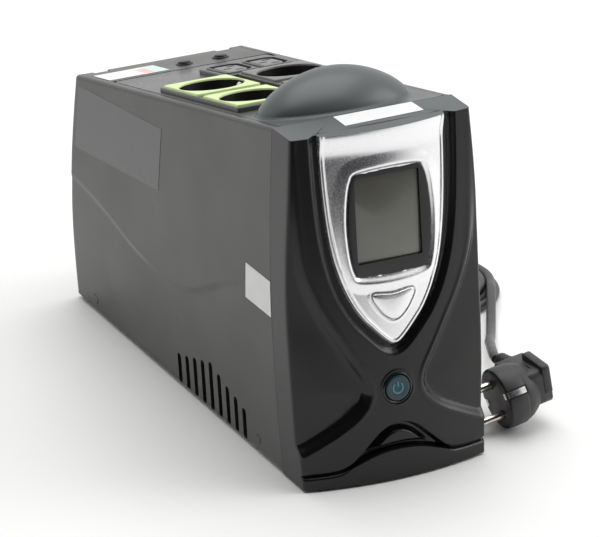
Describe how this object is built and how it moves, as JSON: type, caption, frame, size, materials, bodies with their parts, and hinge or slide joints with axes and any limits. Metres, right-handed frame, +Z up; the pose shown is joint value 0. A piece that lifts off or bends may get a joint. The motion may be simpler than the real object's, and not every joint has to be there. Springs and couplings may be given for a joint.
{
  "type": "uninterruptible power supply",
  "caption": "Tower uninterruptible power supply: wedge case, display shield and power button on the bowed front, round and pin outlets on the sloping top, coiled mains lead with an angled plug.",
  "frame": {"origin": "middle of the case's footprint, on the floor", "axes": "+X to the right seen from the front, +Y towards the rear, +Z up; the front with the display faces -Y"},
  "size_m": [0.2472, 0.4041, 0.2296],
  "materials": {
    "case_black": "satin",
    "hood_grey": "satin",
    "silver_plastic": "satin metallic",
    "gloss_black": "gloss",
    "lens_grey": "satin",
    "board_green": "satin",
    "power_key": "satin",
    "green_plastic": "satin",
    "grey_plastic": "satin",
    "outlet_black": "satin",
    "plated_steel": "satin",
    "brass": "satin",
    "battery_case": "satin",
    "wire_red": "satin",
    "wire_brown": "satin",
    "core_steel": "rough",
    "winding": "satin",
    "aluminium": "satin",
    "part_black": "satin",
    "relay_blue": "satin",
    "capacitor_blue": "satin",
    "fuse_glass": "gloss",
    "rubber": "matte",
    "cord_black": "satin",
    "label_white": "satin"
  },
  "bodies": {
    "case": {"front_bezel": "case_black", "front_shield": "silver_plastic", "display_frame": "gloss_black", "display_lens": "lens_grey", "display_board": "board_green", "select_switch": "part_black", "power_ring": "gloss_black", "power_switch": "part_black", "left_cover": "case_black", "right_cover": "case_black", "base_tray": "case_black", "rear_panel": "case_black", "top_hood": "hood_grey", "outlet_panel": "case_black", "socket_green_front": "green_plastic", "socket_green_rear": "green_plastic", "socket_grey_front": "grey_plastic", "socket_grey_rear": "grey_plastic", "earth_clips": "plated_steel", "socket_contacts": "brass", "iec_outlet_left": "outlet_black", "iec_outlet_right": "outlet_black", "iec_contacts": "brass", "input_breaker": "outlet_black", "output_breaker": "outlet_black", "battery_block": "battery_case", "battery_terminals": "plated_steel", "battery_strap": "plated_steel", "battery_leads": "wire_red", "transformer_core": "core_steel", "transformer_windings": "winding", "transformer_clamp": "plated_steel", "transformer_bolts": "plated_steel", "main_board": "board_green", "heatsinks": "aluminium", "power_transistors": "part_black", "relays": "relay_blue", "capacitors": "capacitor_blue", "controller_chip": "part_black", "buzzer": "part_black", "fuse": "fuse_glass", "cover_screws": "plated_steel", "board_screws": "plated_steel", "feet": "rubber", "inlet_wires": "wire_brown", "cord_gland": "rubber", "cord_rear": "cord_black", "cord_coil": "cord_black", "cord_front": "cord_black", "cord_tie": "cord_black", "plug_relief": "cord_black", "plug_body": "cord_black", "plug_pins": "brass", "plug_earth_clips": "plated_steel", "labels": "label_white"},
    "power_key": {"power_button": "power_key"},
    "select_key": {"select_button": "silver_plastic"},
    "input_reset": {"input_breaker_button": "outlet_black"},
    "output_reset": {"output_breaker_button": "outlet_black"}
  },
  "joints": [
    {"name": "power_press", "type": "slide", "parent": "case", "child": "power_key", "axis": [0, 0.9952, -0.0981], "range_m": [0, 0.002], "stiffness_N_per_m": 500, "springref_m": -0.002},
    {"name": "select_press", "type": "slide", "parent": "case", "child": "select_key", "axis": [0, 0.9952, -0.0981], "range_m": [0, 0.001], "stiffness_N_per_m": 800, "springref_m": -0.001},
    {"name": "input_reset_press", "type": "slide", "parent": "case", "child": "input_reset", "axis": [0, -0.2241, -0.9746], "range_m": [0, 0.0015], "stiffness_N_per_m": 700, "springref_m": -0.0015},
    {"name": "output_reset_press", "type": "slide", "parent": "case", "child": "output_reset", "axis": [0, -0.2241, -0.9746], "range_m": [0, 0.0015], "stiffness_N_per_m": 700, "springref_m": -0.0015}
  ]
}
